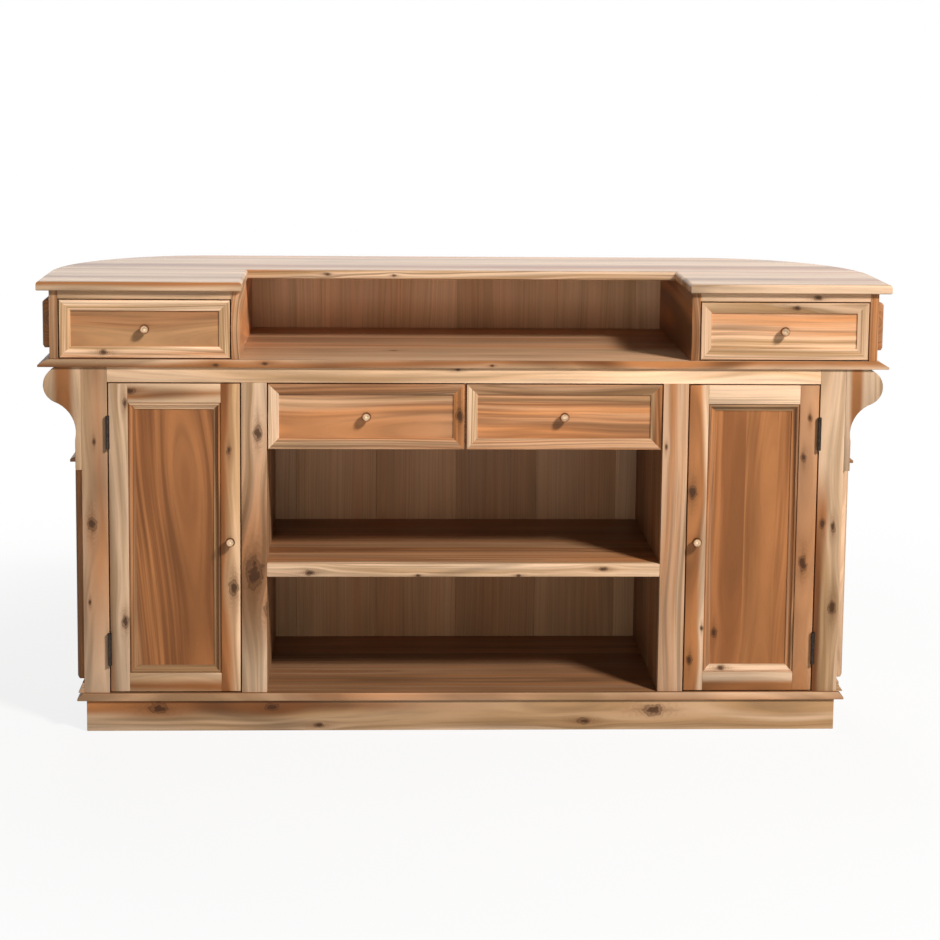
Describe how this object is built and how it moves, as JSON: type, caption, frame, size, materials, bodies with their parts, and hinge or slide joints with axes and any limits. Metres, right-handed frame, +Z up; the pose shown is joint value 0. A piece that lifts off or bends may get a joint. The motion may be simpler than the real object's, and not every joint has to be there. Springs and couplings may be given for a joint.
{
  "type": "bar counter",
  "caption": "Wooden bar counter with a round-cornered raised top, bartender's work niche, drawers, open shelf bay, cupboards with panelled doors and corbels under the ledge.",
  "frame": {"origin": "centre of the overall box in plan, on the floor under the plinth", "axes": "+Z up, +X to the right as seen from the bartender's side, +Y from the bartender towards the customers"},
  "size_m": [2, 0.614, 1.08],
  "materials": {
    "counter_wood": "satin clear varnish over pale and brown streaked hardwood",
    "heartwood_panel": "satin clear varnish over reddish heartwood",
    "inner_wood": "unpolished planed hardwood",
    "drawer_bottom": "unpolished plywood",
    "knob_brass": "polished, slightly aged",
    "hinge_bronze": "dark bronze",
    "catch_block": "planed"
  },
  "bodies": {
    "carcass": {"bottom_board": "counter_wood", "corbels": "counter_wood", "counter_top": "counter_wood", "cupboard_shelves": "counter_wood", "door_catches": "catch_block", "drawer_divider": "inner_wood", "drawer_runners": "inner_wood", "frame_hinge_leaves": "hinge_bronze", "front_stiles": "counter_wood", "front_top_rail": "counter_wood", "hinge_pins": "hinge_bronze", "lower_back_boards": "counter_wood", "lower_corner_walls": "counter_wood", "lower_raised_panels": "counter_wood", "lower_side_walls": "counter_wood", "middle_shelf": "counter_wood", "niche_walls": "counter_wood", "partitions": "counter_wood", "plinth_bearers": "inner_wood", "plinth_front": "counter_wood", "plinth_skirt": "counter_wood", "shelf_cleats": "inner_wood", "upper_back_boards": "counter_wood", "upper_corner_walls": "counter_wood", "upper_rails": "counter_wood", "upper_raised_panels": "counter_wood", "upper_side_walls": "counter_wood", "wall_mouldings": "counter_wood", "work_board": "counter_wood"},
    "left_door": {"left_door_bead": "counter_wood", "left_door_frame": "counter_wood", "left_door_hinge_leaves": "hinge_bronze", "left_door_knob": "knob_brass", "left_door_panel": "heartwood_panel"},
    "upper_left_drawer": {"upper_left_drawer_bottom": "drawer_bottom", "upper_left_drawer_box": "inner_wood", "upper_left_drawer_front_frame": "counter_wood", "upper_left_drawer_front_panel": "heartwood_panel", "upper_left_drawer_knob": "knob_brass"},
    "centre_left_drawer": {"centre_left_drawer_bottom": "drawer_bottom", "centre_left_drawer_box": "inner_wood", "centre_left_drawer_front_frame": "counter_wood", "centre_left_drawer_front_panel": "heartwood_panel", "centre_left_drawer_knob": "knob_brass"},
    "right_door": {"right_door_bead": "counter_wood", "right_door_frame": "counter_wood", "right_door_hinge_leaves": "hinge_bronze", "right_door_knob": "knob_brass", "right_door_panel": "heartwood_panel"},
    "upper_right_drawer": {"upper_right_drawer_bottom": "drawer_bottom", "upper_right_drawer_box": "inner_wood", "upper_right_drawer_front_frame": "counter_wood", "upper_right_drawer_front_panel": "heartwood_panel", "upper_right_drawer_knob": "knob_brass"},
    "centre_right_drawer": {"centre_right_drawer_bottom": "drawer_bottom", "centre_right_drawer_box": "inner_wood", "centre_right_drawer_front_frame": "counter_wood", "centre_right_drawer_front_panel": "heartwood_panel", "centre_right_drawer_knob": "knob_brass"}
  },
  "joints": [
    {"name": "left_door_hinge", "type": "hinge", "parent": "carcass", "child": "left_door", "pos_m": [-0.8385, -0.2862, 0.461], "axis": [0, 0, -1], "range_deg": [0, 170]},
    {"name": "right_door_hinge", "type": "hinge", "parent": "carcass", "child": "right_door", "pos_m": [0.8385, -0.2862, 0.461], "axis": [0, 0, 1], "range_deg": [0, 170]},
    {"name": "upper_left_drawer_slide", "type": "slide", "parent": "carcass", "child": "upper_left_drawer", "axis": [0, -1, 0], "range_m": [0, 0.18]},
    {"name": "centre_left_drawer_slide", "type": "slide", "parent": "carcass", "child": "centre_left_drawer", "axis": [0, -1, 0], "range_m": [0, 0.3]},
    {"name": "upper_right_drawer_slide", "type": "slide", "parent": "carcass", "child": "upper_right_drawer", "axis": [0, -1, 0], "range_m": [0, 0.18]},
    {"name": "centre_right_drawer_slide", "type": "slide", "parent": "carcass", "child": "centre_right_drawer", "axis": [0, -1, 0], "range_m": [0, 0.3]}
  ]
}
